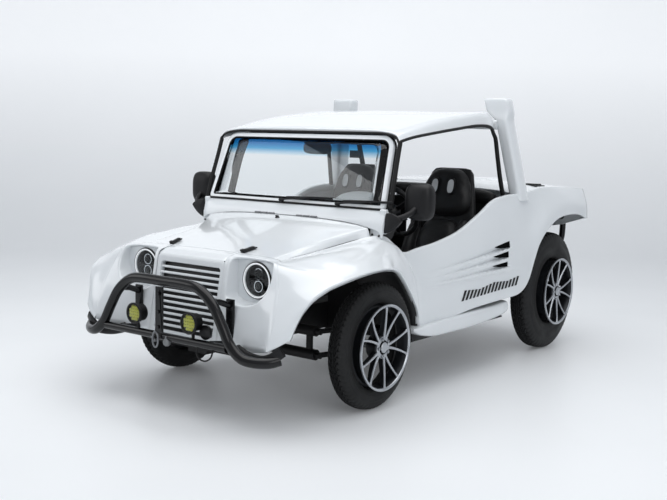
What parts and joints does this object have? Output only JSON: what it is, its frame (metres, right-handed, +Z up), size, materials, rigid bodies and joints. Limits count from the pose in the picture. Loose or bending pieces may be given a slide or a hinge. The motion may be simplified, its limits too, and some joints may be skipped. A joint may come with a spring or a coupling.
{
  "type": "dune buggy",
  "caption": "Open two-seat dune buggy with hard top, bull bar, steered front wheels, opening hood and engine lid.",
  "frame": {"origin": "on the ground below the middle of the car's overall box", "axes": "+Z up, the car faces -Y, +X is the car's left side"},
  "size_m": [1.704, 3.2562, 1.632],
  "materials": {
    "white_body": "white gelcoat on fibreglass",
    "black_paint": "gloss black enamel",
    "black_plastic": "moulded black plastic",
    "chassis_paint": "satin black chassis paint",
    "seat_cover": "black vinyl",
    "screen_glass": "clear glass",
    "lamp_glass": "lamp lens",
    "amber_led": "yellow LED lens",
    "red_lens": "red lens",
    "tyre_rubber": "tyre rubber",
    "rim_alloy": "machined and painted alloy",
    "bare_steel": "steel",
    "cast_alloy": "cast alloy"
  },
  "bodies": {
    "car": {"chassis": "chassis_paint", "front_wing_left": "white_body", "front_wing_right": "white_body", "nose": "white_body", "grille": "white_body", "cowl": "white_body", "boot_tray": "black_plastic", "dashboard": "black_plastic", "side_panel_left": "white_body", "side_panel_right": "white_body", "rear_wing_left": "white_body", "rear_wing_right": "white_body", "rear_deck": "white_body", "windscreen_frame": "white_body", "windscreen_glass": "screen_glass", "hard_top": "white_body", "roll_hoop": "white_body", "roll_cage": "black_paint", "headlamps": "lamp_glass", "bull_bar": "black_paint", "tow_bracket": "black_paint", "fog_lamps": "amber_led", "wipers": "black_plastic", "interior_mirror": "black_plastic", "door_mirrors": "black_plastic", "seat_left": "seat_cover", "seat_right": "seat_cover", "rear_bench": "seat_cover", "steering_column": "black_plastic", "front_axle": "chassis_paint", "rear_axle": "chassis_paint", "engine": "cast_alloy", "exhaust": "bare_steel", "side_steps": "white_body", "rear_bumper": "black_paint", "tail_lamps": "red_lens", "number_plate": "white_body"},
    "steer_left": {"knuckle_left": "bare_steel"},
    "steer_right": {"knuckle_right": "bare_steel"},
    "wheel_front_left": {"tyre_front_left": "tyre_rubber", "rim_front_left": "rim_alloy"},
    "wheel_front_right": {"tyre_front_right": "tyre_rubber", "rim_front_right": "rim_alloy"},
    "wheel_rear_left": {"tyre_rear_left": "tyre_rubber", "rim_rear_left": "rim_alloy"},
    "wheel_rear_right": {"tyre_rear_right": "tyre_rubber", "rim_rear_right": "rim_alloy"},
    "hood_lid": {"hood": "white_body", "hood_latches": "black_plastic"},
    "engine_cover": {"engine_lid": "white_body"},
    "wheel_for_driver": {"steering_wheel": "black_plastic"}
  },
  "joints": [
    {"name": "steer_left", "type": "hinge", "parent": "car", "child": "steer_left", "pos_m": [0.585, -0.8025, 0.326], "axis": [0, 0, 1], "range_deg": [-28, 28]},
    {"name": "steer_right", "type": "hinge", "parent": "car", "child": "steer_right", "pos_m": [-0.585, -0.8025, 0.326], "axis": [0, 0, 1], "range_deg": [-28, 28]},
    {"name": "steering_wheel_turn", "type": "hinge", "parent": "car", "child": "wheel_for_driver", "pos_m": [0.36, -0.1625, 0.96], "axis": [0, 0.8829, 0.4695], "range_deg": [-420, 420]},
    {"name": "wheel_front_left_spin", "type": "hinge", "parent": "steer_left", "child": "wheel_front_left", "pos_m": [0.675, -0.8025, 0.326], "axis": [1, 0, 0], "continuous": true},
    {"name": "wheel_front_right_spin", "type": "hinge", "parent": "steer_right", "child": "wheel_front_right", "pos_m": [-0.675, -0.8025, 0.326], "axis": [1, 0, 0], "continuous": true},
    {"name": "wheel_rear_left_spin", "type": "hinge", "parent": "car", "child": "wheel_rear_left", "pos_m": [0.669, 1.2175, 0.3885], "axis": [1, 0, 0], "continuous": true},
    {"name": "wheel_rear_right_spin", "type": "hinge", "parent": "car", "child": "wheel_rear_right", "pos_m": [-0.669, 1.2175, 0.3885], "axis": [1, 0, 0], "continuous": true},
    {"name": "hood_hinge", "type": "hinge", "parent": "car", "child": "hood_lid", "pos_m": [0, -0.6925, 0.942], "axis": [-1, 0, 0], "range_deg": [0, 50]},
    {"name": "engine_lid_hinge", "type": "hinge", "parent": "car", "child": "engine_cover", "pos_m": [0, 0.7545, 1.0998], "axis": [1, 0, 0], "range_deg": [0, 55]}
  ],
  "couplings": [
    {"joint": "steer_right", "follows": "steer_left", "ratio": 1},
    {"joint": "steering_wheel_turn", "follows": "steer_left", "ratio": 15}
  ]
}
